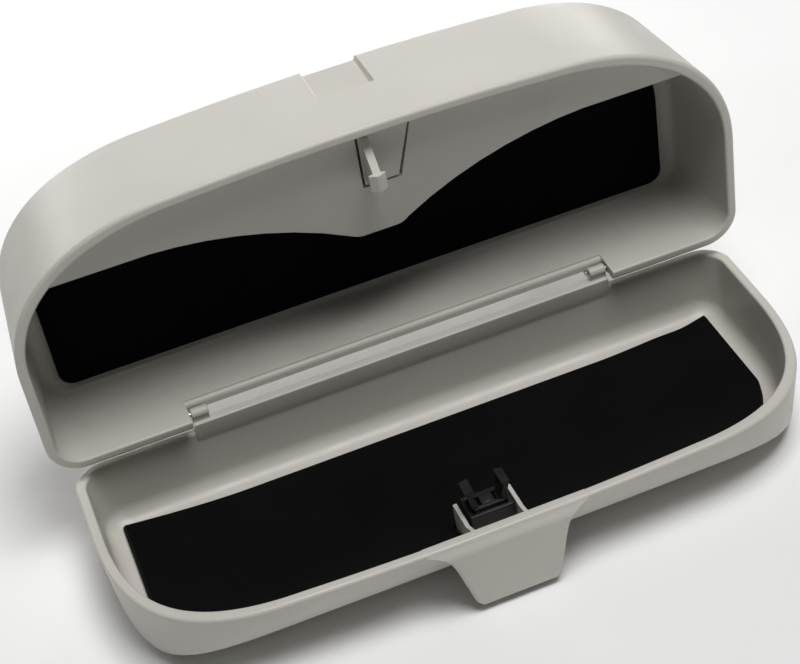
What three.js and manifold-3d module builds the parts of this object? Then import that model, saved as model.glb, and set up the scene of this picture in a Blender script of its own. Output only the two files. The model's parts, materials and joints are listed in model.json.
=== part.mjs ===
// Hinged hard case for sunglasses, of the kind that is fixed to a car's roof lining.
// The housing stands upright with its opening to the front, and the door lies open at a right angle on its
// flat bottom. Millimetres, +X along the hinge, +Y to the back, +Z up. The origin is at the middle of the
// object's footprint, on the surface that the door rests on.
import * as THREE from "three";
import { mergeVertices } from "three/addons/utils/BufferGeometryUtils.js";
import Module from "manifold-3d";

const wasm = await Module();
wasm.setup();

// ---- driving dimensions -------------------------------------------------------------------------------

const FIT = 0.3; // gap between pieces that touch
const PIN_PLAY = 0.1; // gap all round a pin in its bore

// Both shells share one outline: straight along the hinge, rounded at the front.
const SHELL_LENGTH = 62.5; // from the hinge edge to the front edge, at the rim
// side: share of that length that the straight sides take; reach: how far along the front edge a front
// corner goes; pull: how full that corner is, 0 to 1
const BASE_CORNER = { side: 0.45, reach: 40, pull: 0.6 };
const DOOR_CORNER = { side: 0.37, reach: 34, pull: 0.69 };
const FRONT_CROWN = 1.3; // how far the middle of the front edge stands out
const HINGE_CORNER = 8; // corner radius beside the hinge
const RIM_CHAMFER = 0.8;

const BASE_HALF_WIDTH = 83.8;
const BASE_DEPTH = 30;
const BASE_FLOOR = 24.8; // depth of the floor under the pad
const BASE_PANEL = 1.5; // thickness of that floor
const BASE_SIDE_DRAFT = 2.2;
const BASE_END_DRAFT = 1.0;
const WALL = 2.3;

const DOOR_HALF_WIDTH = 80.6;
const DOOR_DEPTH = 19;
const DOOR_FLOOR = 16.4; // depth of the floor under the pad
const DOOR_LAND = 2; // height of the steep part of the front wall, above its big curve
const DOOR_CURVE_START = 30.8; // where the flat bottom turns up into the front wall
const DOOR_DRAFT = 1.2;
const DOOR_CREASE = 2.5; // roundness of the crease between the front curve and the corners

const AXIS_INSET = 0.9; // hinge axis inside the shells' outer hinge face
const BASE_RIM_TO_AXIS = 4.2;
const CLOSED_GAP = 0.4; // between the two rims when shut
const DOOR_RIM_TO_AXIS = BASE_RIM_TO_AXIS + CLOSED_GAP;
const SLOT_HALF_LENGTH = 51.5; // hinge slot in the housing's lower rim
const SLOT_REAR = 6.3; // its rear edge, behind the rim
const KNUCKLE_INNER = 47;
const KNUCKLE_OUTER = 51;
const KNUCKLE_RADIUS = 1.3;
const LIP_HEIGHT = 2.9; // the door's raised edge between the knuckles
const PIN_RADIUS = 0.6;
const PIN_OUTER = 56.7;
const LUG_RADIUS = 1.5;
const LUG_OUTER = 58;

const CLIP_X = 52; // roof clips, left and right of the middle
const CLIP_LENGTH = 10; // how far a clip reaches behind the housing

const LATCH_Y = 49.75; // middle of the latch, from the shells' hinge edge
const LATCH_STROKE = 2.7;
const JAW_SPREAD = THREE.MathUtils.degToRad(14);

const TAB_PROUD = 0.9; // the pull tab's face in front of the rim
const TAB_ROOT = 0.8; // and its top below the rim
const TAB_BOTTOM = -17.6;
const TAB_LEAN = THREE.MathUtils.degToRad(6);

const FRONT_Y = AXIS_INSET - SHELL_LENGTH - TAB_PROUD + (TAB_BOTTOM + TAB_ROOT) * Math.sin(TAB_LEAN);
const BACK_Y = BASE_DEPTH - BASE_RIM_TO_AXIS + CLIP_LENGTH;
const AXIS_Y = -(FRONT_Y + BACK_Y) / 2;
const AXIS_Z = DOOR_DEPTH + DOOR_RIM_TO_AXIS;

// ---- materials ----------------------------------------------------------------------------------------

const finish = (color, roughness, metalness = 0) =>
  new THREE.MeshStandardMaterial({ color, roughness, metalness });
const plastic = () => finish(0xb4b0a6, 0.55);
const blackPlastic = () => finish(0x111112, 0.45);
const felt = () => finish(0x0b0b0c, 1);
const tape = () => finish(0x8d8a72, 0.7);
const steel = () => finish(0x9a9c9f, 0.35, 1);

// ---- solids -------------------------------------------------------------------------------------------

// A closed geometry as a solid that can be cut and joined.
function solid(geometry) {
  const bare = geometry.clone();
  bare.deleteAttribute("normal");
  bare.deleteAttribute("uv");
  const merged = mergeVertices(bare, 1e-4);
  return new wasm.Manifold(
    new wasm.Mesh({
      numProp: 3,
      vertProperties: new Float32Array(merged.attributes.position.array),
      triVerts: new Uint32Array(merged.index.array),
    }),
  );
}

function geometryOf(body) {
  const mesh = body.getMesh();
  const geometry = new THREE.BufferGeometry();
  geometry.setAttribute("position", new THREE.BufferAttribute(mesh.vertProperties, 3));
  geometry.setIndex(new THREE.BufferAttribute(mesh.triVerts, 1));
  geometry.computeVertexNormals();
  return geometry;
}

// A closed skin over rings of equally many points, from the first ring to the last, with flat ends.
// The rings turn counter-clockwise seen from the last one.
function loft(rings) {
  const count = rings[0].length;
  const points = rings.flat();
  const faces = [];
  for (let ring = 0; ring + 1 < rings.length; ring++) {
    for (let i = 0; i < count; i++) {
      const a = ring * count + i;
      const b = ring * count + ((i + 1) % count);
      faces.push(a, b, b + count, a, b + count, a + count);
    }
  }
  for (const [ring, outward] of [[rings[0], false], [rings.at(-1), true]]) {
    const start = outward ? points.length - count : 0;
    const flat = ring.map((p) => new THREE.Vector2(p.x, p.outlineY));
    for (const [a, b, c] of THREE.ShapeUtils.triangulateShape(flat, [])) {
      faces.push(...(outward ? [a, b, c] : [a, c, b]).map((i) => i + start));
    }
  }
  const geometry = new THREE.BufferGeometry().setFromPoints(points);
  geometry.setIndex(faces);
  return geometry;
}

const box = (x0, x1, y0, y1, z0, z1) =>
  solid(
    new THREE.BoxGeometry(x1 - x0, y1 - y0, z1 - z0)
      .translate((x0 + x1) / 2, (y0 + y1) / 2, (z0 + z1) / 2),
  );

// A cylinder along X, Y or Z, between two places on that axis.
function rod(axis, radius, from, to, sides = 24) {
  const geometry = new THREE.CylinderGeometry(radius, radius, to - from, sides);
  geometry.translate(0, (from + to) / 2, 0);
  if (axis === "x") geometry.rotateZ(-Math.PI / 2);
  if (axis === "z") geometry.rotateX(Math.PI / 2);
  return solid(geometry);
}

// A flat outline given as [across, up] pairs or as a THREE.Shape, extruded along X, Y or Z.
function slab(axis, outline, from, to, curveSegments = 8) {
  const given = outline instanceof THREE.Shape;
  const shape = given ? outline : new THREE.Shape(outline.map(([a, b]) => new THREE.Vector2(a, b)));
  const options = { depth: to - from, bevelEnabled: false, curveSegments };
  const geometry = new THREE.ExtrudeGeometry(shape, options);
  geometry.translate(0, 0, from);
  if (axis === "x") geometry.rotateY(Math.PI / 2).rotateX(Math.PI / 2); // outline is (y, z)
  if (axis === "y") geometry.rotateX(Math.PI / 2).scale(1, -1, 1); // outline is (x, z)
  const made = solid(geometry);
  return made.volume() < 0 ? solid(turned(geometry)) : made;
}

// The same geometry with its faces turned round.
function turned(geometry) {
  const copy = geometry.index ? geometry.toNonIndexed() : geometry.clone();
  const p = copy.attributes.position;
  for (let i = 0; i < p.count; i += 3) {
    const [a, b] = [i + 1, i + 2].map((k) => new THREE.Vector3().fromBufferAttribute(p, k));
    p.setXYZ(i + 1, b.x, b.y, b.z);
    p.setXYZ(i + 2, a.x, a.y, a.z);
  }
  return copy;
}

const move = (body, x, y, z) => body.translate([x, y, z]);
const inOrder = (a, b) => (a < b ? [a, b] : [b, a]);
const joined = (...bodies) => bodies.reduce((sum, body) => sum.add(body));

function mesh(name, body, material) {
  const made = new THREE.Mesh(geometryOf(body), material);
  made.name = name;
  return made;
}

// ---- the shared outline -------------------------------------------------------------------------------

// The outline of both shells at one level, counter-clockwise, as (x, distance from the hinge edge).
// near and far are its hinge and front edges.
function shellOutline(halfWidth, near, far, cornerRadius, { side, reach, pull }) {
  const r = cornerRadius;
  const sideEnd = near + (far - near) * side;
  const frontX = halfWidth - reach;
  const frontY = far - FRONT_CROWN;
  const slope = (FRONT_CROWN * 4) / 3 / ((frontX * 2) / 3);
  const v = (x, y) => new THREE.Vector2(x, y);
  const corner = (sign) => [
    v(sign * halfWidth, sideEnd),
    v(sign * halfWidth, sideEnd + pull * (frontY - sideEnd)),
    v(sign * (frontX + pull * reach), frontY - pull * reach * slope * 0.5),
    v(sign * frontX, frontY),
  ];
  const crownY = frontY + (slope * frontX * 2) / 3;
  const front = [v(frontX, frontY), v(frontX / 3, crownY), v(-frontX / 3, crownY), v(-frontX, frontY)];
  const parts = [
    [new THREE.EllipseCurve(halfWidth - r, near + r, r, r, -Math.PI / 2, 0), 5],
    [new THREE.LineCurve(v(halfWidth, near + r), v(halfWidth, sideEnd)), 1],
    [new THREE.CubicBezierCurve(...corner(1)), 13],
    [new THREE.CubicBezierCurve(...front), 6],
    [new THREE.CubicBezierCurve(...corner(-1).reverse()), 13],
    [new THREE.LineCurve(v(-halfWidth, sideEnd), v(-halfWidth, near + r)), 1],
    [new THREE.EllipseCurve(-(halfWidth - r), near + r, r, r, Math.PI, Math.PI * 1.5), 5],
    [new THREE.LineCurve(v(-(halfWidth - r), near), v(halfWidth - r, near)), 1],
  ];
  return parts.flatMap(([curve, steps]) =>
    Array.from({ length: steps }, (_, i) => curve.getPoint(i / steps)),
  );
}

// How far a rounded edge of this radius has drawn in at this distance past its start.
const roundIn = (radius, past) =>
  past <= 0 ? 0 : radius - Math.sqrt(Math.max(0, radius ** 2 - past ** 2));

// ---- housing shell: local x, y = depth behind the rim, z = height above the hinge edge -----------------

function baseRing(depth, inset, cornerRadius) {
  const share = depth / BASE_DEPTH;
  const halfWidth = BASE_HALF_WIDTH - share * BASE_SIDE_DRAFT - inset;
  const near = share * BASE_END_DRAFT + inset;
  const far = SHELL_LENGTH - share * BASE_END_DRAFT - inset;
  return shellOutline(halfWidth, near, far, cornerRadius, BASE_CORNER).map(({ x, y }) =>
    Object.assign(new THREE.Vector3(x, depth, y), { outlineY: y }),
  );
}

// Rings of a base shell run to the back, and their outline is clockwise seen from there.
const baseLoft = (levels) => solid(turned(loft(levels.map((level) => baseRing(...level)))));

const NOTCH_SIDES = [-4.9, 7.3];
const NOTCH_START = 16.8;
const NOTCH_DEPTH = 1.5;
const BOSS_RADIUS = 4.5;
const BACK_RIB = 1.6;
const MOUNT_HEIGHT = 31; // clips and rear pad, above the hinge edge
const REAR_PAD_HALF = 9;

function baseHousing() {
  const outer = baseLoft([
    [0, RIM_CHAMFER, HINGE_CORNER],
    [RIM_CHAMFER, 0, HINGE_CORNER],
    [BASE_DEPTH - 1, 0, HINGE_CORNER],
    [BASE_DEPTH, 1, HINGE_CORNER],
  ]);
  const inside = baseLoft([
    [-1, WALL, HINGE_CORNER - WALL],
    [BASE_FLOOR - 1.5, WALL, HINGE_CORNER - WALL],
    [BASE_FLOOR - 0.5, WALL + 0.5, HINGE_CORNER - WALL],
    [BASE_FLOOR, WALL + 1.5, HINGE_CORNER - WALL],
  ]);
  const panelBack = BASE_FLOOR + BASE_PANEL;
  const rear = baseLoft([
    [panelBack, WALL + 0.6, HINGE_CORNER - WALL],
    [BASE_DEPTH + 1, WALL, HINGE_CORNER - WALL],
  ]);
  let body = outer.subtract(inside).subtract(rear);

  // ribs, rear pad and clip bosses in the shallow hollow of the back
  const ribTop = BASE_DEPTH - 0.6;
  const upright = [-CLIP_X, -26, 26, CLIP_X].map((x) =>
    box(x - BACK_RIB / 2, x + BACK_RIB / 2, panelBack - 0.5, ribTop, WALL, SHELL_LENGTH),
  );
  const level = [MOUNT_HEIGHT - BACK_RIB / 2, MOUNT_HEIGHT + BACK_RIB / 2];
  const across = box(-BASE_HALF_WIDTH, BASE_HALF_WIDTH, panelBack - 0.5, ribTop, ...level);
  const [low, high] = [MOUNT_HEIGHT - REAR_PAD_HALF, MOUNT_HEIGHT + REAR_PAD_HALF];
  const rearPad = box(-REAR_PAD_HALF * 1.5, REAR_PAD_HALF * 1.5, panelBack - 0.5, BASE_DEPTH, low, high);
  body = body.add(joined(...upright, across, rearPad).intersect(outer));
  for (const side of [-1, 1]) {
    const x = side * CLIP_X;
    body = body.add(move(rod("y", BOSS_RADIUS, panelBack - 0.5, BASE_DEPTH), x, 0, MOUNT_HEIGHT));
    const screwBore = rod("y", SCREW_RADIUS + FIT, BASE_FLOOR + 1.2, BASE_DEPTH + 1);
    body = body.subtract(move(screwBore, x, 0, MOUNT_HEIGHT));
  }

  // hinge: a slot for the door's raised edge and knuckles, and beyond its ends two lugs for the pins
  const lugs = rod("x", LUG_RADIUS, -LUG_OUTER, LUG_OUTER, 16);
  const bores = rod("x", PIN_RADIUS + PIN_PLAY, -PIN_OUTER - FIT, PIN_OUTER + FIT, 16);
  body = body.add(move(lugs, 0, BASE_RIM_TO_AXIS, AXIS_INSET));
  body = body.subtract(move(bores, 0, BASE_RIM_TO_AXIS, AXIS_INSET));
  const slotSide = [[-1, -2], [SLOT_REAR, -2], [SLOT_REAR, 1.5], [SLOT_REAR + 1.3, 2.8],
    [SLOT_REAR + 1.3, 6], [-1, 6]];
  body = body.subtract(slab("x", slotSide, -SLOT_HALF_LENGTH, SLOT_HALF_LENGTH));

  // grip recess in the middle of the front wall's back edge
  const floor = SHELL_LENGTH - BASE_END_DRAFT - NOTCH_DEPTH;
  const [left, right] = NOTCH_SIDES;
  const notch = [[left, floor], [right, floor], [right + 1.2, floor + 4], [left - 1.2, floor + 4]];
  return body.subtract(slab("y", notch, NOTCH_START, BASE_DEPTH + 1));
}

// ---- pieces inside the housing ------------------------------------------------------------------------

const PAD = 1.4;
const TAPE = 0.2;
const BASE_PAD_HALF_WIDTH = 75.6;
const BASE_PAD_LOW = 5.2;
const BASE_PAD_HIGH = 56;
const PAD_CORNER = 3.5;

function basePad(inset, from, to) {
  const corner = PAD_CORNER - inset / 2;
  const [low, high] = [BASE_PAD_LOW + inset, BASE_PAD_HIGH - inset];
  const outline = shellOutline(BASE_PAD_HALF_WIDTH - inset, low, high, corner, BASE_CORNER);
  return slab("y", new THREE.Shape(outline), from, to);
}

const RETAINER_DEPTH = 4; // its front face behind the rim, at the top
const RETAINER_THICKNESS = 1.6;
const RETAINER_TILT = THREE.MathUtils.degToRad(3.5); // its lower edge lies deeper
const RETAINER_EDGE = 45.9; // height of the outer stretches of its lower edge
const RETAINER_TIP = 31.5; // lowest edge, in the middle
const FINGER_TOP = [-1.3, 10.2]; // sides of the striker's plate at its top
const FINGER_LOW = [-1.2, 6.5]; // and at its lower end
const FINGER_END = 44.8;
const SLIT = 0.6;

// The lower edge runs straight from each end, then sweeps down to a short straight tip in the middle.
function retainerOutline() {
  const shape = new THREE.Shape();
  shape.moveTo(BASE_HALF_WIDTH, SHELL_LENGTH);
  shape.lineTo(-BASE_HALF_WIDTH, SHELL_LENGTH);
  shape.lineTo(-BASE_HALF_WIDTH, RETAINER_EDGE);
  shape.lineTo(-50, RETAINER_EDGE);
  shape.bezierCurveTo(-36, RETAINER_EDGE - 0.6, -20, 41, -6.8, 32.8);
  shape.quadraticCurveTo(-4.8, RETAINER_TIP, -3.4, RETAINER_TIP);
  shape.lineTo(4.4, RETAINER_TIP);
  shape.quadraticCurveTo(5.8, RETAINER_TIP, 7.2, 32.8);
  shape.bezierCurveTo(20, 41, 36, RETAINER_EDGE - 0.6, 50, RETAINER_EDGE);
  shape.lineTo(BASE_HALF_WIDTH, RETAINER_EDGE);
  return shape;
}

const fingerOutline = (grow, top) => [
  [FINGER_LOW[0] - grow, FINGER_END - grow],
  [FINGER_LOW[1] + grow, FINGER_END - grow],
  [FINGER_TOP[1] + grow, top],
  [FINGER_TOP[0] - grow, top],
];

// Leans a plate built behind the rim so that its lower edge lies deeper.
function leaned(body) {
  const pivot = SHELL_LENGTH - WALL;
  const turn = THREE.MathUtils.radToDeg(RETAINER_TILT);
  return move(move(body, 0, -RETAINER_DEPTH, -pivot).rotate([turn, 0, 0]), 0, RETAINER_DEPTH, pivot);
}

function glassesRetainer() {
  const [front, back] = [RETAINER_DEPTH, RETAINER_DEPTH + RETAINER_THICKNESS];
  const wall = baseRing(back + 1, WALL + FIT * 1.5, HINGE_CORNER - WALL).map((p) => [p.x, p.z]);
  const plate = slab("y", retainerOutline(), front, back, 7).intersect(slab("y", wall, front, back));
  const window = slab("y", fingerOutline(SLIT, SHELL_LENGTH - WALL - 1.6), front - 2, back + 2);
  return leaned(plate.subtract(window));
}

const HEAD_HALF_LENGTH = 2.1; // arrow head, along the case's short side
const HEAD_HALF_WIDTH = 1.9;
const NECK_HALF_WIDTH = 0.9;
const HEAD_TIP = -3.1; // in front of the housing's rim
const HEAD_SHOULDER = -1.7;

// A plate with a rib across the middle that carries an arrow head, which the latch's jaws hold.
function striker() {
  const [front, back] = [RETAINER_DEPTH, RETAINER_DEPTH + RETAINER_THICKNESS];
  const plate = leaned(slab("y", fingerOutline(0, SHELL_LENGTH - WALL - 2.2), front, back));
  const ribTop = SHELL_LENGTH - WALL - 2.6;
  const [headLow, headHigh] = [LATCH_Y - HEAD_HALF_LENGTH, LATCH_Y + HEAD_HALF_LENGTH];
  const inHead = HEAD_SHOULDER - 0.4;
  const ribSide = [[front + 0.6, FINGER_END + 1], [front + 0.6, ribTop], [front - 0.4, ribTop],
    [inHead, headHigh], [inHead, headLow], [front, FINGER_END + 1]];
  const rib = slab("x", ribSide, -NECK_HALF_WIDTH, NECK_HALF_WIDTH);
  const headHalf = [[NECK_HALF_WIDTH, HEAD_SHOULDER], [HEAD_HALF_WIDTH, HEAD_SHOULDER - 0.2],
    [HEAD_HALF_WIDTH, HEAD_SHOULDER - 0.5], [0.3, HEAD_TIP]];
  const mirrored = headHalf.slice().reverse().map(([a, b]) => [-a, b]);
  return joined(plate, rib, slab("z", [...headHalf, ...mirrored], headLow, headHigh));
}

// ---- roof clips and their screws ----------------------------------------------------------------------

const SCREW_RADIUS = 1.25;
const SCREW_HEAD_RADIUS = 2.3;
const SCREW_LENGTH = 4.9; // under the head
const CLIP_HALF_WIDTH = 4;
const CLIP_SHEET = 0.5;

// A strip of spring steel bent into two barbed prongs that snap into a slot in the roof.
function roofClip() {
  const front = BASE_DEPTH + FIT;
  const half = [
    [6, 0],
    [6, CLIP_SHEET],
    [3.7, CLIP_SHEET],
    [5.3, 5.2],
    [2.5, CLIP_LENGTH - FIT],
    [1.7, CLIP_LENGTH - FIT - 0.3],
    [4.3, 5.2],
    [2.7, CLIP_SHEET],
  ];
  const outline = [...half, ...half.slice().reverse().map(([a, b]) => [-a, b])];
  const strip = slab("x", outline.map(([a, b]) => [front + b, a]), -CLIP_HALF_WIDTH, CLIP_HALF_WIDTH);
  return strip.subtract(rod("y", SCREW_RADIUS + FIT, front - 1, front + CLIP_SHEET + 0.2));
}

function clipScrew() {
  const under = BASE_DEPTH + FIT * 2 + CLIP_SHEET;
  const profile = [
    [0, -SCREW_LENGTH],
    [0.5, -SCREW_LENGTH],
    [SCREW_RADIUS, -SCREW_LENGTH + 0.8],
    [SCREW_RADIUS, 0],
    [SCREW_HEAD_RADIUS, 0],
    [SCREW_HEAD_RADIUS, 0.7],
    [1.5, 1.6],
    [0, 1.8],
  ].map(([r, y]) => new THREE.Vector2(r, y));
  const turnedBody = solid(new THREE.LatheGeometry(profile, 20));
  const cross = joined(box(-1.2, 1.2, 0.9, 2, -0.3, 0.3), box(-0.3, 0.3, 0.9, 2, -1.2, 1.2));
  return move(turnedBody.subtract(cross), 0, under, 0);
}

// ---- door shell: local x, y = minus the distance from the hinge edge, z = height above its rim ----------

// How far out the front of the door is at a depth below the rim, all along it: steep at first, then a
// quarter ellipse down to the flat bottom.
function frontEdge(depth, land, floor, far) {
  if (depth <= land) return far - 0.3 * depth;
  const reach = far - 0.3 * land - DOOR_CURVE_START;
  return DOOR_CURVE_START + reach * Math.sqrt(Math.max(0, 1 - ((depth - land) / (floor - land)) ** 2));
}

// The smaller of two distances, with the crease between them rounded.
const softMin = (a, b, round) => (a + b - Math.sqrt((a - b) ** 2 + round ** 2)) / 2;

// The front corners keep the rim's outline all the way down, and the front curve cuts across it.
function doorRing(depth, inset, floor, sideRound, rearRound, cornerRadius) {
  const draft = (Math.max(depth, 0) / DOOR_DEPTH) * DOOR_DRAFT;
  const halfWidth = DOOR_HALF_WIDTH - inset - draft - roundIn(sideRound, depth - (floor - sideRound));
  const near = inset + draft + roundIn(rearRound, depth - (floor - rearRound));
  const front = frontEdge(depth, DOOR_LAND, floor, SHELL_LENGTH - inset);
  const crease = Math.min(DOOR_CREASE, Math.max(depth, 0) / 3);
  const outline = shellOutline(halfWidth, near, SHELL_LENGTH - inset - draft, cornerRadius, DOOR_CORNER);
  return outline.map(({ x, y }) => {
    const out = softMin(y, front, crease);
    return Object.assign(new THREE.Vector3(x, -out, -depth), { outlineY: out });
  });
}

// Depths from the foot of the steep land to a floor, closer together where the front curve flattens.
const curveDepths = (floor) =>
  Array.from({ length: 13 }, (_, i) => DOOR_LAND + (floor - DOOR_LAND) * Math.sin((i / 12) * Math.PI / 2));

const OUTER_SIDE_ROUND = 4;
const OUTER_REAR_ROUND = 1.2;

function doorOuter() {
  const corner = HINGE_CORNER - 1;
  const levels = [RIM_CHAMFER, ...curveDepths(DOOR_DEPTH)];
  const rounds = [OUTER_SIDE_ROUND, OUTER_REAR_ROUND];
  const rings = levels.map((depth) => doorRing(depth, 0, DOOR_DEPTH, ...rounds, corner));
  return loft([doorRing(0, RIM_CHAMFER, DOOR_DEPTH, ...rounds, corner), ...rings]);
}

// The door's hollow, drawn in all round by a lift from its walls and floor.
function doorHollow(lift) {
  const floor = DOOR_FLOOR - lift;
  const levels = [-1, ...curveDepths(floor)];
  const inset = WALL + lift;
  return solid(loft(levels.map((depth) => doorRing(depth, inset, floor, 3, 4, HINGE_CORNER - WALL))));
}

const TAB_TOP = 14; // half widths of the pull tab
const TAB_LOW = 9.8;
const TAB_THICKNESS = 2.4;

// A tongue-shaped grip that hangs from the middle of the front rim, with flared shoulders.
function pullTab() {
  const shape = new THREE.Shape();
  shape.moveTo(-TAB_TOP - 3.5, -TAB_ROOT);
  shape.quadraticCurveTo(-TAB_TOP + 0.5, -2.2, -TAB_TOP + 1.6, -6);
  shape.lineTo(-TAB_LOW - 0.6, TAB_BOTTOM + 3);
  shape.quadraticCurveTo(-TAB_LOW, TAB_BOTTOM, -TAB_LOW + 2.6, TAB_BOTTOM);
  shape.lineTo(TAB_LOW - 2.6, TAB_BOTTOM);
  shape.quadraticCurveTo(TAB_LOW, TAB_BOTTOM, TAB_LOW + 0.6, TAB_BOTTOM + 3);
  shape.lineTo(TAB_TOP - 1.6, -6);
  shape.quadraticCurveTo(TAB_TOP - 0.5, -2.2, TAB_TOP + 3.5, -TAB_ROOT);
  const front = -SHELL_LENGTH - TAB_PROUD;
  const plate = slab("y", shape, front, front + TAB_THICKNESS, 5);
  const leanDegrees = -THREE.MathUtils.radToDeg(TAB_LEAN);
  return move(move(plate, 0, -front, TAB_ROOT).rotate([leanDegrees, 0, 0]), 0, front, -TAB_ROOT);
}

const RIB_INNER = 5.7;
const RIB = 1;

const CATCHES = [-15, 13]; // where the two catches are, along the hinge

// One hinge knuckle on its arm, with a foot behind it that stops the door at a right angle.
function hingeKnuckle(from, to) {
  const [axisY, axisZ] = [-AXIS_INSET, DOOR_RIM_TO_AXIS];
  const footTop = axisZ - AXIS_INSET - FIT;
  const arm = slab("x", [[-1.9, 1], [-0.05, 1], [-0.05, footTop - 1], [axisY + 3.4, footTop - 1],
    [axisY + 3.4, footTop], [-0.05, footTop], [-0.05, axisZ], [-1.9, axisZ]], from, to);
  const knuckle = move(rod("x", KNUCKLE_RADIUS, from, to), 0, axisY, axisZ);
  const bore = move(rod("x", PIN_RADIUS + PIN_PLAY, from - 1, to + 1, 16), 0, axisY, axisZ);
  return joined(arm, knuckle).subtract(bore);
}

function doorShell() {
  const outer = solid(doorOuter());
  let body = outer.subtract(doorHollow(0));

  // raised edge along the hinge, with a knuckle on an arm at each end
  const lipSide = [[-0.05, -1.2], [-0.05, LIP_HEIGHT - 0.7], [-0.8, LIP_HEIGHT], [-2.5, LIP_HEIGHT],
    [-2.9, LIP_HEIGHT - 0.4], [-2.9, -0.5], [-2.2, -3], [-1, -3]];
  body = body.add(slab("x", lipSide, -KNUCKLE_OUTER, KNUCKLE_OUTER));
  for (const side of [-1, 1]) {
    const [from, to] = inOrder(side * KNUCKLE_INNER, side * KNUCKLE_OUTER);
    body = body.add(hingeKnuckle(from, to));
  }

  // cradle for the latch, and two low catches beside it on the front wall
  const ribs = [-1, 1].map((side) => {
    const ribSide = [[-46, -DOOR_DEPTH], [-SHELL_LENGTH, -DOOR_DEPTH], [-SHELL_LENGTH, -3.4], [-54, -4.6],
      [-46, -5]];
    return slab("x", ribSide, ...inOrder(side * RIB_INNER, side * (RIB_INNER + RIB)));
  });
  const catchFront = -SHELL_LENGTH + 1;
  const catches = CATCHES.map((x) => box(x - 1.8, x + 1.8, catchFront, catchFront + 2.5, -2.2, -0.9));
  body = body.add(joined(...ribs, ...catches).intersect(outer));
  return body.add(pullTab());
}

// ---- door pad: follows the floor and the start of the front wall's curve --------------------------------

const DOOR_PAD_HALF_WIDTH = 73.4;
const DOOR_PAD_FRONT = 52.5;
const TAPE_SHOWS = 0.6; // how far the tape stands out at each end of the pad
const DOOR_PAD_INSET = 6.2; // its distance from the outside at the front corners

// A sheet that lies on the door's floor between two heights above it, cut short at the back by a wavy edge.
function floorSheet(low, high, inset, endInset) {
  const w = DOOR_PAD_HALF_WIDTH - endInset;
  const rear = -9.4 - inset;
  const front = -DOOR_PAD_FRONT + inset;
  const outline = new THREE.Shape();
  outline.moveTo(-w, -6.8 - inset);
  outline.bezierCurveTo(-w + 10, -8 - inset, -w + 14, rear, -w + 30, rear);
  outline.lineTo(w - 30, rear);
  outline.bezierCurveTo(w - 14, rear - 1.4, w - 8, -8.8 - inset, w, -6.8 - inset);
  outline.lineTo(w, front);
  outline.lineTo(-w, front);
  const gap = DOOR_PAD_INSET + inset;
  const plan = shellOutline(DOOR_HALF_WIDTH - gap, 1, SHELL_LENGTH - gap, 3, DOOR_CORNER);
  const corners = plan.map(({ x, y }) => [x, -y]);
  const levels = [-DOOR_DEPTH - 1, 0];
  const blank = slab("z", outline, ...levels, 6).intersect(slab("z", corners, ...levels));
  const room = RIB_INNER + RIB + 0.4 + inset;
  const sheet = doorHollow(low).subtract(doorHollow(high)).intersect(blank);
  return sheet.subtract(box(-room, room, -60, -45.4 + inset, -20, 5));
}

// ---- push-push latch ----------------------------------------------------------------------------------

const HOUSING_HALF_WIDTH = 4.9;
const CAVITY_HALF_WIDTH = 4;
const HOUSING_REAR = LATCH_Y - 3.3;
const HOUSING_FRONT = LATCH_Y + 3.3;
const HOUSING_TOP = -3.8;
const CAVITY_FLOOR = -9;
const PLUNGER_HALF_WIDTH = 3.6;
const PLUNGER_HALF_LENGTH = 2.2;
const PLUNGER_TOP = -3;
const PLUNGER_BOTTOM = -6;
const JAW_PIVOT_X = 2.9;
const JAW_PIVOT_Z = -4.1;
const JAW_PIN_RADIUS = 0.4;
const JAW_KNUCKLE_RADIUS = 0.95;
const SPRING_RADIUS = 1.25;
const SPRING_WIRE = 0.2;
const SPRING_TURNS = 3.5;
const SPRING_FOOT = -10.2;
const SPRING_HEIGHT = PLUNGER_BOTTOM - FIT - SPRING_FOOT;

function latchHousing() {
  const side = [[-HOUSING_REAR, HOUSING_TOP], [-HOUSING_REAR, -13.4], [-HOUSING_FRONT, -10.5],
    [-HOUSING_FRONT, HOUSING_TOP]];
  const block = slab("x", side, -HOUSING_HALF_WIDTH, HOUSING_HALF_WIDTH);
  const [front, rear] = [-HOUSING_FRONT + 0.8, -HOUSING_REAR - 0.8];
  const cavity = box(-CAVITY_HALF_WIDTH, CAVITY_HALF_WIDTH, front, rear, CAVITY_FLOOR, 0);
  const well = move(rod("z", 1.8, -10.5, CAVITY_FLOOR + 1), 0, -LATCH_Y, 0);
  const ears = box(-RIB_INNER + FIT, RIB_INNER - FIT, -LATCH_Y - 1.4, -LATCH_Y + 1.4, -7.6, -6.2);
  return joined(block, ears).subtract(cavity).subtract(well);
}

function latchPlunger() {
  const w = PLUNGER_HALF_WIDTH;
  const wall = 0.85;
  const [rear, front] = [-LATCH_Y + PLUNGER_HALF_LENGTH, -LATCH_Y - PLUNGER_HALF_LENGTH];
  const foot = box(-w, w, front, rear, PLUNGER_BOTTOM, -5.4);
  const rearEar = box(-w, w, rear - wall, rear, -5.5, PLUNGER_TOP);
  const frontEar = box(-w, w, front, front + wall, -5.5, PLUNGER_TOP);
  const post = box(-1.5, 1.5, front, rear, -5.5, PLUNGER_TOP);
  const button = move(rod("z", 1.1, PLUNGER_TOP - 0.5, PLUNGER_TOP + 0.15, 20), 0, -LATCH_Y, 0);
  const holes = [-1, 1].map((side) =>
    move(rod("y", JAW_PIN_RADIUS + 0.1, -60, -40, 12), side * JAW_PIVOT_X, 0, JAW_PIVOT_Z),
  );
  return joined(foot, rearEar, frontEar, post, button).subtract(joined(...holes));
}

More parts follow.
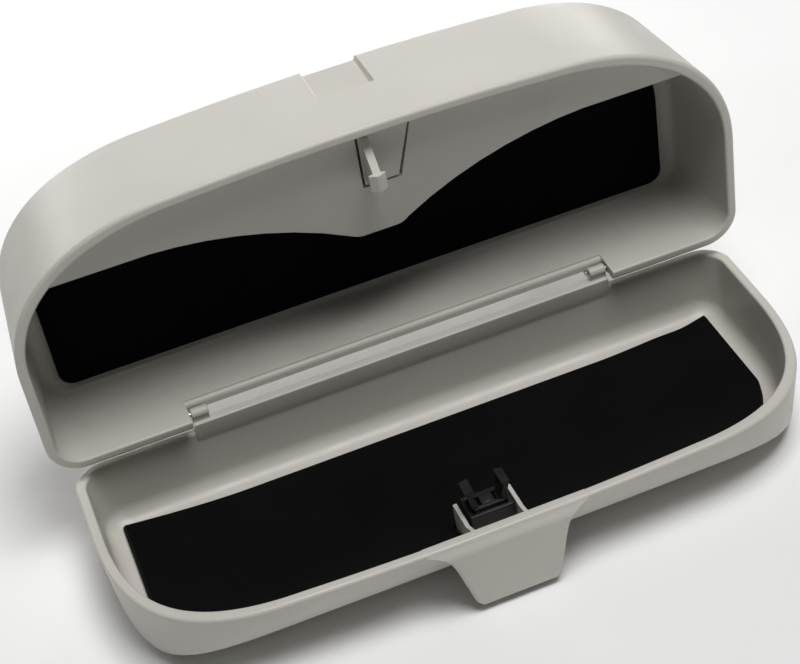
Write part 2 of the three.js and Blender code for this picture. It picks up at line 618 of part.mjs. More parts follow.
// One jaw, upright on its own pivot: a knuckle and a blade that ends in an inward hook.
function latchJaw() {
  const knuckle = rod("y", JAW_KNUCKLE_RADIUS, -1.15, 1.15, 16);
  const stem = slab("y", [[-0.6, 0], [0.6, 0], [0.6, 2], [-0.6, 2]], -1.15, 1.15);
  const bladeSide = [[-0.6, 1.5], [0.6, 1.5], [0.6, 6.3], [-1.4, 6.3], [-1.4, 5.8], [-0.6, 5.2]];
  const blade = slab("y", bladeSide, -2.1, 2.1);
  return joined(knuckle, stem, blade).subtract(rod("y", JAW_PIN_RADIUS + 0.1, -3, 3, 12));
}

// A round wire wound into a coil, with closed ends resting on the well and the plunger.
function latchSpring() {
  class Helix extends THREE.Curve {
    getPoint(t, target = new THREE.Vector3()) {
      const angle = t * SPRING_TURNS * 2 * Math.PI;
      const height = SPRING_HEIGHT - 2 * SPRING_WIRE;
      return target.set(SPRING_RADIUS * Math.cos(angle), SPRING_RADIUS * Math.sin(angle), height * t);
    }
  }
  const section = new THREE.Shape().absarc(0, 0, SPRING_WIRE, 0, Math.PI * 2);
  const options = { steps: 56, curveSegments: 3, extrudePath: new Helix(), bevelEnabled: false };
  const wire = new THREE.ExtrudeGeometry(section, options);
  wire.translate(0, -LATCH_Y, SPRING_FOOT + SPRING_WIRE);
  const made = solid(wire);
  return made.volume() < 0 ? solid(turned(wire)) : made;
}

// ---- assembly -----------------------------------------------------------------------------------------

const base = new THREE.Group();
base.position.set(0, AXIS_Y - BASE_RIM_TO_AXIS, AXIS_Z - AXIS_INSET);
const padBack = BASE_FLOOR - FIT - TAPE - FIT;
base.add(
  mesh("base_housing", baseHousing(), plastic()),
  mesh("base_pad_tape", basePad(1, BASE_FLOOR - FIT - TAPE, BASE_FLOOR - FIT), tape()),
  mesh("base_pad", basePad(0, padBack - PAD, padBack), felt()),
  mesh("glasses_retainer", glassesRetainer(), plastic()),
  mesh("striker", striker(), plastic()),
);
for (const [side, name] of [[-1, "left"], [1, "right"]]) {
  const clip = mesh("roof_clip_" + name, roofClip(), steel());
  const screw = mesh("clip_screw_" + name, clipScrew(), steel());
  clip.position.set(side * CLIP_X, 0, MOUNT_HEIGHT);
  screw.position.copy(clip.position);
  const pinEnds = inOrder(side * (KNUCKLE_INNER + FIT), side * PIN_OUTER);
  const pin = mesh("hinge_pin_" + name, rod("x", PIN_RADIUS, ...pinEnds, 16), steel());
  pin.position.set(0, BASE_RIM_TO_AXIS, AXIS_INSET);
  base.add(clip, screw, pin);
}

const door = new THREE.Group();
const doorPadLow = FIT + TAPE + FIT;
door.position.set(0, AXIS_Y + AXIS_INSET, DOOR_DEPTH);
door.add(
  mesh("door_shell", doorShell(), plastic()),
  mesh("door_pad_tape", floorSheet(FIT, FIT + TAPE, 1, -TAPE_SHOWS), tape()),
  mesh("door_pad", floorSheet(doorPadLow, doorPadLow + PAD, 0, 0), felt()),
  mesh("latch_housing", latchHousing(), blackPlastic()),
  mesh("latch_plunger", latchPlunger(), blackPlastic()),
  mesh("latch_spring", latchSpring(), steel()),
);
for (const [side, name] of [[-1, "left"], [1, "right"]]) {
  const jaw = mesh("latch_jaw_" + name, latchJaw(), blackPlastic());
  const jawPin = mesh("jaw_pin_" + name, rod("y", JAW_PIN_RADIUS, -2.15, 2.15, 12), steel());
  jaw.scale.x = side;
  jaw.rotation.y = side * JAW_SPREAD;
  for (const piece of [jaw, jawPin]) {
    piece.position.set(side * JAW_PIVOT_X, -LATCH_Y, JAW_PIVOT_Z);
    door.add(piece);
  }
}

const sunglassesCase = new THREE.Group();
sunglassesCase.add(base, door);

export default sunglassesCase;
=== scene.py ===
# Looks for an open overhead sunglasses case: two moulded shells, felt pads, retainer, latch and hinge.
import json
import math

import bmesh
import bpy
import numpy as np
from mathutils import Matrix, Vector


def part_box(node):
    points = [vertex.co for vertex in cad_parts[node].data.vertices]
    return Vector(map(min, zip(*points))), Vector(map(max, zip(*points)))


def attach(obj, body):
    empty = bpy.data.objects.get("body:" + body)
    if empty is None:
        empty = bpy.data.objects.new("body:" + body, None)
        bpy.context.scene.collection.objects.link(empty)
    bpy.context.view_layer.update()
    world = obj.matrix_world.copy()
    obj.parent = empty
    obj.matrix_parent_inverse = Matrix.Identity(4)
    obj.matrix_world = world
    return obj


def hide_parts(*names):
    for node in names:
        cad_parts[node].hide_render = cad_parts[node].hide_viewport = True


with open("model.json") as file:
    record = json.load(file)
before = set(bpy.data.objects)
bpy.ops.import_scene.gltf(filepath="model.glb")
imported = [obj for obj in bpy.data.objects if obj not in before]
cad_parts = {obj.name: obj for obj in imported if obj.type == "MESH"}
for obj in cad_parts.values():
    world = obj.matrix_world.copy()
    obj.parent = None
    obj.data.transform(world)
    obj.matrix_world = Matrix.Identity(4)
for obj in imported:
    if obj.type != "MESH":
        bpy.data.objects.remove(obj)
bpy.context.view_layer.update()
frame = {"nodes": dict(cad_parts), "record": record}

MM = 0.001

# ---- the frame's own places ----------------------------------------------------------------------------

JOINTS = {joint["name"]: joint for joint in frame["record"]["behaviour"]["joints"]}
AXIS = Vector(JOINTS["door_hinge"]["pos_m"]) / MM

AXIS_INSET = 0.9
BASE_RIM_TO_AXIS = 4.2
DOOR_RIM_TO_AXIS = 4.6

# Each shell is built in millimetres in its own frame. Housing: y = depth behind its rim, z = height above
# its hinge edge. Door: y = minus the distance from its hinge edge, z = height above its rim.
BASE = Vector((0, AXIS.y - BASE_RIM_TO_AXIS, AXIS.z - AXIS_INSET))
DOOR = Vector((0, AXIS.y + AXIS_INSET, AXIS.z - DOOR_RIM_TO_AXIS))


# ---- mesh tools ----------------------------------------------------------------------------------------

def new_object(name, mesh):
    obj = bpy.data.objects.new(name, mesh)
    bpy.context.scene.collection.objects.link(obj)
    return obj


def from_faces(name, points, faces, origin):
    """A mesh object from points in a shell's own frame, in millimetres."""
    mesh = bpy.data.meshes.new(name)
    world = [tuple((Vector(p) + origin) * MM) for p in points]
    mesh.from_pydata(world, [], faces)
    mesh.validate()
    bm = bmesh.new()
    bm.from_mesh(mesh)
    bmesh.ops.remove_doubles(bm, verts=bm.verts, dist=1e-7)
    bmesh.ops.recalc_face_normals(bm, faces=bm.faces)
    bm.to_mesh(mesh)
    bm.free()
    return new_object(name, mesh)


def loft(name, rings, origin):
    """A closed skin over rings of equally many points, with a flat cap on both ends."""
    count = len(rings[0])
    points = [p for ring in rings for p in ring]
    faces = []
    for r in range(len(rings) - 1):
        for i in range(count):
            a, b = r * count + i, r * count + (i + 1) % count
            faces.append((a, b, b + count, a + count))
    faces.append(tuple(range(count))[::-1])
    faces.append(tuple(range(len(points) - count, len(points))))
    return from_faces(name, points, faces, origin)


PLANE = {
    "x": lambda a, b, along: (along, a, b),
    "y": lambda a, b, along: (a, along, b),
    "z": lambda a, b, along: (a, b, along),
}


def prism(name, axis, outline, start, end, origin, round_edges=0.0):
    """An outline extruded along an axis, with its edges rounded."""
    place = PLANE[axis]
    count = len(outline)
    points = [place(a, b, start) for a, b in outline] + [place(a, b, end) for a, b in outline]
    faces = [tuple(range(count))[::-1], tuple(range(count, 2 * count))]
    for i in range(count):
        j = (i + 1) % count
        faces.append((i, j, j + count, i + count))
    obj = from_faces(name, points, faces, origin)
    if round_edges:
        soften(obj, round_edges)
    return obj


SHARP_ANGLE = math.radians(28)


def soften(obj, width):
    """Rounds the mesh's sharp edges."""
    bm = bmesh.new()
    bm.from_mesh(obj.data)
    edges = [e for e in bm.edges if e.is_manifold and e.calc_face_angle(0) > SHARP_ANGLE]
    bmesh.ops.bevel(
        bm, geom=edges, offset=width * MM, segments=3, profile=0.5,
        affect="EDGES", clamp_overlap=True, loop_slide=True,
    )
    bm.to_mesh(obj.data)
    bm.free()


ROD_STEPS = 40


def rod(name, axis, radius, start, end, origin, edge):
    """A round rod along an axis through the origin, with the edges of its ends bevelled."""
    place = PLANE[axis]
    profile = [(radius - edge, start), (radius, start + edge), (radius, end - edge), (radius - edge, end)]
    rings = []
    for reach, along in profile:
        angles = [2 * math.pi * i / ROD_STEPS for i in range(ROD_STEPS)]
        rings.append([place(reach * math.cos(a), reach * math.sin(a), along) for a in angles])
    return loft(name, rings, origin)


def boolean(obj, others, operation):
    """Cuts other meshes off a mesh, or joins them to it. They are used up."""
    for other in others:
        modifier = obj.modifiers.new("boolean", "BOOLEAN")
        modifier.operation = operation
        modifier.object = other
        modifier.solver = "EXACT"
    bpy.context.view_layer.update()
    evaluated = obj.evaluated_get(bpy.context.evaluated_depsgraph_get())
    mesh = bpy.data.meshes.new_from_object(evaluated)
    obj.modifiers.clear()
    obj.data = mesh
    for other in others:
        bpy.data.objects.remove(other, do_unlink=True)


def smooth(obj, angle=32):
    """Smooth shading with creases at real edges, weighted so that flat faces stay flat."""
    mesh = obj.data
    mesh.polygons.foreach_set("use_smooth", [True] * len(mesh.polygons))
    mesh.set_sharp_from_angle(angle=math.radians(angle))
    weighted = obj.modifiers.new("weighted normals", "WEIGHTED_NORMAL")
    weighted.keep_sharp = True
    weighted.weight = 80
    return obj


def finished(obj, body, material, nodes):
    obj.data.materials.clear()
    obj.data.materials.append(material)
    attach(obj, body)
    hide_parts(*nodes)
    return obj


# ---- materials -----------------------------------------------------------------------------------------

class Shader:
    """A Principled material and short ways to add nodes to it."""

    def __init__(self, name):
        self.material = bpy.data.materials.new(name)
        self.material.use_nodes = True
        self.tree = self.material.node_tree
        self.bsdf = self.tree.nodes["Principled BSDF"]
        self.place = self.tree.nodes.new("ShaderNodeTexCoord").outputs["Object"]

    def link(self, source, target):
        self.tree.links.new(source, target)

    def noise(self, scale, detail, stretch=None, roughness=0.5):
        node = self.tree.nodes.new("ShaderNodeTexNoise")
        node.inputs["Scale"].default_value = scale
        node.inputs["Detail"].default_value = detail
        node.inputs["Roughness"].default_value = roughness
        if stretch:
            mapping = self.tree.nodes.new("ShaderNodeMapping")
            mapping.inputs["Scale"].default_value = stretch
            self.link(self.place, mapping.inputs["Vector"])
            self.link(mapping.outputs["Vector"], node.inputs["Vector"])
        else:
            self.link(self.place, node.inputs["Vector"])
        return node.outputs["Fac"]

    def ranged(self, source, low, high):
        """Spreads the middle of a noise's range over two values."""
        node = self.tree.nodes.new("ShaderNodeMapRange")
        node.inputs["From Min"].default_value = 0.3
        node.inputs["From Max"].default_value = 0.7
        node.inputs["To Min"].default_value = low
        node.inputs["To Max"].default_value = high
        self.link(source, node.inputs["Value"])
        return node.outputs["Result"]

    def colours(self, source, dark, light, start=0.3, end=0.7):
        ramp = self.tree.nodes.new("ShaderNodeValToRGB")
        ramp.color_ramp.elements[0].position = start
        ramp.color_ramp.elements[1].position = end
        ramp.color_ramp.elements[0].color = (*dark, 1)
        ramp.color_ramp.elements[1].color = (*light, 1)
        self.link(source, ramp.inputs["Fac"])
        return ramp.outputs["Color"]

    def mixed(self, factor, first, second):
        node = self.tree.nodes.new("ShaderNodeMix")
        node.data_type = "RGBA"
        node.inputs["Factor"].default_value = factor
        self.link(first, node.inputs["A"])
        if isinstance(second, tuple):
            node.inputs["B"].default_value = (*second, 1)
        else:
            self.link(second, node.inputs["B"])
        return node.outputs["Result"]

    def bump(self, source, strength, distance_mm, under=None):
        node = self.tree.nodes.new("ShaderNodeBump")
        node.inputs["Strength"].default_value = strength
        node.inputs["Distance"].default_value = distance_mm * MM
        self.link(source, node.inputs["Height"])
        if under:
            self.link(under, node.inputs["Normal"])
        return node.outputs["Normal"]

    def set(self, **values):
        for name, value in values.items():
            self.bsdf.inputs[name.replace("_", " ")].default_value = value


def scaled(colour, factor):
    return tuple(channel * factor for channel in colour)


def satin_plastic(name, colour, roughness, grain):
    """Moulded plastic: faint cloudiness, a fine spark-eroded grain and patches of different gloss."""
    shader = Shader(name)
    cloud = shader.noise(38, 4)
    speck = shader.noise(2600, 2)
    base = shader.colours(cloud, scaled(colour, 0.955), scaled(colour, 1.035))
    dusty = shader.colours(speck, scaled(colour, 0.93), scaled(colour, 1.05))
    shader.link(shader.mixed(0.35, base, dusty), shader.bsdf.inputs["Base Color"])
    gloss = shader.ranged(shader.noise(120, 5), roughness - 0.05, roughness + 0.07)
    shader.link(gloss, shader.bsdf.inputs["Roughness"])
    wave = shader.bump(shader.noise(55, 2), 0.25, 0.04)
    shader.link(shader.bump(speck, grain, 0.02, wave), shader.bsdf.inputs["Normal"])
    shader.set(IOR=1.46)
    return shader.material


def felt_black(name):
    """Short-napped black felt over foam: matted fibres, a soft sheen and faint brushed patches."""
    shader = Shader(name)
    fibre = shader.noise(2300, 8, roughness=0.75)
    patch = shader.noise(60, 4)
    nap = shader.colours(fibre, (0.0008, 0.0008, 0.001), (0.005, 0.005, 0.0055), 0.35, 0.72)
    worn = shader.colours(patch, (0.0012, 0.0012, 0.0014), (0.0035, 0.0035, 0.0038))
    shader.link(shader.mixed(0.45, nap, worn), shader.bsdf.inputs["Base Color"])
    shader.link(shader.ranged(fibre, 0.86, 1.0), shader.bsdf.inputs["Roughness"])
    soft = shader.bump(patch, 0.35, 0.15)
    shader.link(shader.bump(fibre, 0.55, 0.09, soft), shader.bsdf.inputs["Normal"])
    shader.set(Sheen_Weight=0.02, Sheen_Roughness=0.5, IOR=1.25, Specular_IOR_Level=0.25)
    return shader.material


def black_acetal(name):
    shader = Shader(name)
    cloud = shader.noise(200, 3)
    fine = shader.noise(4000, 2)
    tone = shader.colours(cloud, (0.008, 0.008, 0.0085), (0.018, 0.018, 0.019))
    shader.link(tone, shader.bsdf.inputs["Base Color"])
    shader.link(shader.ranged(cloud, 0.30, 0.42), shader.bsdf.inputs["Roughness"])
    shader.link(shader.bump(fine, 0.12, 0.01), shader.bsdf.inputs["Normal"])
    return shader.material


def metal(name, colour, roughness, stretch):
    """Drawn or plated steel with fine lines along its length."""
    shader = Shader(name)
    lines = shader.noise(900, 4, stretch)
    stain = shader.noise(160, 4)
    bright = shader.colours(lines, scaled(colour, 0.86), scaled(colour, 1.08))
    dull = shader.colours(stain, scaled(colour, 0.8), colour)
    shader.link(shader.mixed(0.4, bright, dull), shader.bsdf.inputs["Base Color"])
    shader.link(shader.ranged(lines, roughness - 0.06, roughness + 0.1), shader.bsdf.inputs["Roughness"])
    shader.link(shader.bump(lines, 0.15, 0.01), shader.bsdf.inputs["Normal"])
    shader.set(Metallic=1.0)
    return shader.material


def adhesive_film(name):
    shader = Shader(name)
    streak = shader.noise(500, 4, (0.2, 1, 1))
    cloud = shader.noise(90, 3)
    film = shader.colours(streak, (0.20, 0.185, 0.13), (0.36, 0.345, 0.26))
    shader.link(shader.mixed(0.5, film, (0.27, 0.26, 0.19)), shader.bsdf.inputs["Base Color"])
    shader.link(shader.ranged(cloud, 0.4, 0.65), shader.bsdf.inputs["Roughness"])
    shader.link(shader.bump(streak, 0.3, 0.03), shader.bsdf.inputs["Normal"])
    return shader.material


WARM_GREY = (0.555, 0.535, 0.49)
SHELL = satin_plastic("shell_satin", WARM_GREY, 0.40, 0.10)
RETAINER = satin_plastic("retainer_satin", scaled(WARM_GREY, 0.97), 0.45, 0.07)
FELT = felt_black("black_felt")
ACETAL = black_acetal("black_acetal")
SPRING_STEEL = metal("spring_steel", (0.46, 0.455, 0.44), 0.3, (1, 0.12, 0.12))
ZINC = metal("zinc_plate", (0.60, 0.61, 0.62), 0.28, (0.15, 1, 1))
FILM = adhesive_film("adhesive_film")


# ---- the outline that both shells share ----------------------------------------------------------------

SHELL_LENGTH = 62.5
# Front corners: share of the length that the sides stay straight for, reach along the front, fullness.
BASE_CORNER = (0.45, 40, 0.6)
DOOR_CORNER = (0.37, 34, 0.69)
FRONT_CROWN = 1.3
HINGE_CORNER = 8
WALL = 2.3

# How many points each stretch of the outline has.
HINGE_CORNER_STEPS = 14
SIDE_STEPS = 8
FRONT_STEPS = 30
HINGE_EDGE_STEPS = 30


def bezier(a, b, c, d, steps):
    points = []
    for i in range(steps):
        t = i / steps
        s = 1 - t
        weights = (s ** 3, 3 * s * s * t, 3 * s * t * t, t ** 3)
        points.append(tuple(sum(w * p[k] for w, p in zip(weights, (a, b, c, d))) for k in (0, 1)))
    return points


def arc(x, y, radius, start, end, steps):
    points = []
    for i in range(steps):
        angle = math.radians(start + (end - start) * i / steps)
        points.append((x + radius * math.cos(angle), y + radius * math.sin(angle)))
    return points


def line(a, b, steps):
    return [(a[0] + (b[0] - a[0]) * i / steps, a[1] + (b[1] - a[1]) * i / steps) for i in range(steps)]


def shell_outline(half, near, far, radius, shape, corner_steps=34):
    """(x, distance from the hinge edge), counter-clockwise from the right end of the hinge edge."""
    straight, reach, pull = shape
    side_end = near + (far - near) * straight
    front_x = half - reach
    front_y = far - FRONT_CROWN
    slope = FRONT_CROWN * 4 / 3 / (front_x * 2 / 3)
    crown_y = front_y + slope * front_x * 2 / 3

    def corner(side):
        return [
            (side * half, side_end),
            (side * half, side_end + pull * (front_y - side_end)),
            (side * (front_x + pull * reach), front_y - pull * reach * slope * 0.5),
            (side * front_x, front_y),
        ]

    front = [(front_x, front_y), (front_x / 3, crown_y), (-front_x / 3, crown_y), (-front_x, front_y)]
    return (
        arc(half - radius, near + radius, radius, -90, 0, HINGE_CORNER_STEPS)
        + line((half, near + radius), (half, side_end), SIDE_STEPS)
        + bezier(*corner(1), corner_steps)
        + bezier(*front, FRONT_STEPS)
        + bezier(*corner(-1)[::-1], corner_steps)
        + line((-half, side_end), (-half, near + radius), SIDE_STEPS)
        + arc(-(half - radius), near + radius, radius, 180, 270, HINGE_CORNER_STEPS)
        + line((-(half - radius), near), (half - radius, near), HINGE_EDGE_STEPS)
    )


def quarter(steps):
    """Angles from 0 to a right angle."""
    return [math.pi / 2 * i / steps for i in range(steps + 1)]


# ---- housing shell -------------------------------------------------------------------------------------

BASE_HALF_WIDTH = 83.8
BASE_DEPTH = 30
BASE_FLOOR = 24.8
BASE_PANEL = 1.5
BASE_FILLET = 1.9
BASE_SIDE_DRAFT = 2.2
BASE_END_DRAFT = 1
BACK_FRAME = 0.4
RIM_OUT = 0.8
RIM_IN = 0.5
HINGE_AXIS = BASE + Vector((0, BASE_RIM_TO_AXIS, AXIS_INSET))
PIN_BORE = 0.7


def base_ring(depth, inset):
    share = depth / BASE_DEPTH
    half = BASE_HALF_WIDTH - share * BASE_SIDE_DRAFT - inset
    near = share * BASE_END_DRAFT + inset
    far = SHELL_LENGTH - share * BASE_END_DRAFT - inset
    radius = max(HINGE_CORNER - inset, 0.8)
    return [(x, depth, y) for x, y in shell_outline(half, near, far, radius, BASE_CORNER)]


def base_levels():
    """(depth, inset) of each ring: up from the hollow of the back, round the rim, down to the panel."""
    panel_back = BASE_FLOOR + BASE_PANEL
    frame_back = BASE_DEPTH - BACK_FRAME
    panel_inset = WALL + 1.8
    levels = [(panel_back, panel_inset)]
    for a in quarter(5)[1:]:
        levels.append((panel_back + 0.9 * (1 - math.cos(a)), panel_inset - 0.9 * math.sin(a)))
    levels += [(frame_back, WALL + 0.1)]
    for a in quarter(4)[1:]:
        levels.append((frame_back + BACK_FRAME * math.sin(a), WALL + 0.1 - BACK_FRAME * (1 - math.cos(a))))
    levels += [(BASE_DEPTH - (1 - math.cos(a)), 1 - math.sin(a)) for a in quarter(6)]
    levels += [(depth, 0) for depth in (24, 18, 12, 6, 2)]
    levels += [(RIM_OUT * (1 - math.sin(a)), RIM_OUT * (1 - math.cos(a))) for a in quarter(6)]
    levels += [(RIM_IN * (1 - math.cos(a)), WALL - RIM_IN * (1 - math.sin(a))) for a in quarter(5)]
    levels += [(depth, WALL) for depth in (4, 10, 16, 21)]
    for a in quarter(7):
        depth = BASE_FLOOR - BASE_FILLET * (1 - math.sin(a))
        levels.append((depth, WALL + BASE_FILLET * (1 - math.cos(a))))
    return levels


CLIP_X = 52
CLIP_HEIGHT = 31
BACK_RIB_HALF = 0.8
SLOT_HALF_LENGTH = 51.5
SLOT_REAR = 6.3
LUG_OUTER = 58
LUG_RADIUS = 1.5
NOTCH_SIDES = (-4.9, 7.3)
NOTCH_START = 16.8
NOTCH_DEPTH = 1.5
SCREW_BORE = 1.55


def back_details():
    """Ribs, a pad in the middle and bosses for the clips on the back, and the lugs of the hinge."""
    foot = BASE_FLOOR + BASE_PANEL - 0.5
    rib_top = BASE_DEPTH - 0.6
    details = []
    for x, gap in ((-CLIP_X, 5.5), (-CLIP_X / 2, 2.6), (CLIP_X / 2, 2.6), (CLIP_X, 5.5)):
        side = [(foot, 2), (rib_top, 2), (rib_top, SHELL_LENGTH - gap), (foot, SHELL_LENGTH - gap)]
        details.append(prism("rib", "x", side, x - BACK_RIB_HALF, x + BACK_RIB_HALF, BASE, 0.25))
    low, high = CLIP_HEIGHT - BACK_RIB_HALF, CLIP_HEIGHT + BACK_RIB_HALF
    across = [(foot, low), (rib_top, low), (rib_top, high), (foot, high)]
    details.append(prism("rib", "x", across, -81, 81, BASE, 0.25))
    pad = [(-13.5, 22), (13.5, 22), (13.5, 40), (-13.5, 40)]
    details.append(prism("rear_pad", "y", pad, foot, BASE_DEPTH, BASE, 0.5))
    for x in (-CLIP_X, CLIP_X):
        boss = BASE + Vector((x, 0, CLIP_HEIGHT))
        details.append(rod("boss", "y", 4.5, foot, BASE_DEPTH, boss, 0.3))
    for low, high in ((-LUG_OUTER, -SLOT_HALF_LENGTH), (SLOT_HALF_LENGTH, LUG_OUTER)):
        details.append(rod("lug", "x", LUG_RADIUS, low, high, HINGE_AXIS, 0.3))
    return details


def base_cuts():
    """The slot for the door's hinge edge, the pins' bore, the grip recess and the screw holes."""
    rounding = 1.1
    wall_turn = 1.2
    slot = [(-1, -2), (SLOT_REAR, -2), (SLOT_REAR, wall_turn)]
    for a in quarter(6)[1:]:
        slot.append((SLOT_REAR + rounding * (1 - math.cos(a)), wall_turn + rounding * math.sin(a)))
    slot += [(SLOT_REAR + rounding, 6), (-1, 6)]
    cuts = [prism("slot", "x", slot, -SLOT_HALF_LENGTH, SLOT_HALF_LENGTH, BASE)]
    cuts.append(rod("bore", "x", PIN_BORE, -57, 57, HINGE_AXIS, 0.05))
    notch_floor = SHELL_LENGTH - BASE_END_DRAFT - NOTCH_DEPTH
    left, right = NOTCH_SIDES
    flare, rise = 1.2, 4
    notch = [
        (left, notch_floor), (right, notch_floor),
        (right + flare, notch_floor + rise), (left - flare, notch_floor + rise),
    ]
    cuts.append(prism("notch", "y", notch, NOTCH_START, BASE_DEPTH + 1, BASE, 0.35))
    for x in (-CLIP_X, CLIP_X):
        screw = BASE + Vector((x, 0, CLIP_HEIGHT))
        cuts.append(rod("bore", "y", SCREW_BORE, BASE_FLOOR + 1.2, BASE_DEPTH + 1, screw, 0.05))
    return cuts


def base_housing():
    body = loft("housing_shell", [base_ring(*level) for level in base_levels()], BASE)
    boolean(body, back_details(), "UNION")
    boolean(body, base_cuts(), "DIFFERENCE")
    return smooth(body)


finished(base_housing(), "housing", SHELL, ["base_housing"])


# ---- door shell ----------------------------------------------------------------------------------------

DOOR_HALF_WIDTH = 80.6
DOOR_DEPTH = 19
DOOR_FLOOR = 16.4
DOOR_LAND = 2
LAND_SLOPE = 0.3
DOOR_CURVE_START = 30.8
DOOR_DRAFT = 1.2
DOOR_CORNER_STEPS = 60


def round_in(radius, past):
    """How far a rounded corner has drawn in, this far past its start."""
    return 0 if past <= 0 else radius - math.sqrt(max(0, radius ** 2 - past ** 2))


def front_edge(depth, floor, far):
    """How far the front wall reaches: nearly upright at the rim, then an elliptic curve under."""
    if depth <= DOOR_LAND:
        return far - LAND_SLOPE * depth
    reach = far - LAND_SLOPE * DOOR_LAND - DOOR_CURVE_START
    share = (depth - DOOR_LAND) / (floor - DOOR_LAND)
    return DOOR_CURVE_START + reach * math.sqrt(max(0, 1 - share ** 2))


def soft_min(a, b, rounding):
    """The smaller of two distances, with the crease between them rounded."""
    return (a + b - math.hypot(a - b, rounding)) / 2


def door_ring(depth, inset, floor, side_round, rear_round, radius):
    """The corners keep the rim's outline all the way down, and the front curve cuts across it."""
    draft = max(depth, 0) / DOOR_DEPTH * DOOR_DRAFT
    half = DOOR_HALF_WIDTH - inset - draft - round_in(side_round, depth - (floor - side_round))
    near = inset + draft + round_in(rear_round, depth - (floor - rear_round))
    front = front_edge(depth, floor, SHELL_LENGTH - inset)
    crease = min(2.5, max(depth, 0) / 3)
    far = SHELL_LENGTH - inset - draft
    outline = shell_outline(half, near, far, radius, DOOR_CORNER, DOOR_CORNER_STEPS)
    return [(x, -soft_min(y, front, crease), -depth) for x, y in outline]


def outer_ring(depth, inset=0.0):
    return door_ring(depth, inset, DOOR_DEPTH, 4, 1.2, HINGE_CORNER - 1)


def inner_ring(depth, lift=0.0, inset=WALL):
    return door_ring(depth, inset + lift, DOOR_FLOOR - lift, 3, 4, HINGE_CORNER - WALL)


def curve_depths(floor, steps):
    """Depths down the front wall's curve, closer together where it turns into the bottom."""
    return [DOOR_LAND + (floor - DOOR_LAND) * math.sin(a) for a in quarter(steps)]


TAB_PROUD = 0.9
TAB_TOP = -0.8
TAB_BOTTOM = -17.6
TAB_LEAN = math.radians(6)
TAB_THICKNESS = 2.4
TAB_CORNER = 2.2
TAB_FRONT_ROUND = 0.75
TAB_BACK_ROUND = 0.3
TAB_FOOT_ROUND = 0.6


def tab_half_width(z):
    """Half width of the pull tab at a height: flared at the top, narrowing a little to the foot."""
    straight = 12.6 + (z + 6) * 0.27
    flare = 4.6 * math.exp(-(TAB_TOP - z) / 1.35)
    return straight + flare


def tab_ring(z):
    """The tab's section at a height: a rectangle with rounded corners."""
    down = TAB_TOP - z
    foot = z - TAB_BOTTOM
    blend = min(1, max(0, (down + 0.5) / 2.2))
    proud = (TAB_PROUD + 0.2) * (blend * blend * (3 - 2 * blend)) - 0.2
    front = -SHELL_LENGTH - proud - down * math.sin(TAB_LEAN)
    inner = front + TAB_THICKNESS
    width = tab_half_width(min(z, TAB_TOP)) - round_in(TAB_CORNER, TAB_CORNER - foot)
    squeeze = round_in(TAB_FOOT_ROUND, TAB_FOOT_ROUND - foot)
    front_y = front + TAB_FRONT_ROUND + squeeze
    back_y = inner - TAB_BACK_ROUND - squeeze
    ring = []
    for x, y, radius, start in (
        (width - TAB_FRONT_ROUND, front_y, TAB_FRONT_ROUND, -90),
        (width - TAB_BACK_ROUND, back_y, TAB_BACK_ROUND, 0),
        (TAB_BACK_ROUND - width, back_y, TAB_BACK_ROUND, 90),
        (TAB_FRONT_ROUND - width, front_y, TAB_FRONT_ROUND, 180),
    ):
        for k in range(7):
            angle = math.radians(start + 90 * k / 6)
            ring.append((x + radius * math.cos(angle), y + radius * math.sin(angle), z))
    return ring


def pull_tab():
    rows = 34
    top = TAB_TOP + 0.5
    return loft("tab", [tab_ring(top + (TAB_BOTTOM - top) * i / rows) for i in range(rows + 1)], DOOR)


KNUCKLE_INNER = 47
KNUCKLE_OUTER = 51
KNUCKLE_RADIUS = 1.3
LIP_HEIGHT = 2.9
LIP_BACK = -0.05
ARM_FRONT = -1.9
DOOR_AXIS = DOOR + Vector((0, -AXIS_INSET, DOOR_RIM_TO_AXIS))


def hinge_parts():
    """The raised edge along the hinge, and a knuckle on an arm at each end of it."""
    lip = [(LIP_BACK, -1.2), (LIP_BACK, LIP_HEIGHT - 1)]
    lip += [(LIP_BACK - 1 + math.cos(a), LIP_HEIGHT - 1 + math.sin(a)) for a in quarter(6)[1:]]
    lip += [(-2.5 - 0.4 * math.sin(a), LIP_HEIGHT - 0.4 + 0.4 * math.cos(a)) for a in quarter(4)]
    lip += [(-2.9, -0.6), (-2.2, -3), (-1, -3)]
    parts = [prism("lip", "x", lip, -KNUCKLE_OUTER, KNUCKLE_OUTER, DOOR)]
    foot_top = DOOR_RIM_TO_AXIS - AXIS_INSET - 0.3
    foot_back = 3.4 - AXIS_INSET
    arm = [
        (ARM_FRONT, 1), (LIP_BACK, 1), (LIP_BACK, foot_top - 1), (foot_back, foot_top - 1),
        (foot_back, foot_top), (LIP_BACK, foot_top), (LIP_BACK, DOOR_RIM_TO_AXIS),
        (ARM_FRONT, DOOR_RIM_TO_AXIS),
    ]
    for low, high in ((-KNUCKLE_OUTER, -KNUCKLE_INNER), (KNUCKLE_INNER, KNUCKLE_OUTER)):
        parts.append(prism("arm", "x", arm, low, high, DOOR, 0.2))
        parts.append(rod("knuckle", "x", KNUCKLE_RADIUS, low, high, DOOR_AXIS, 0.2))
    return parts


CRADLE_INNER = 5.7
CRADLE_OUTER = 6.7
CATCHES = (-15, 13)
CATCH_HALF_WIDTH = 1.8


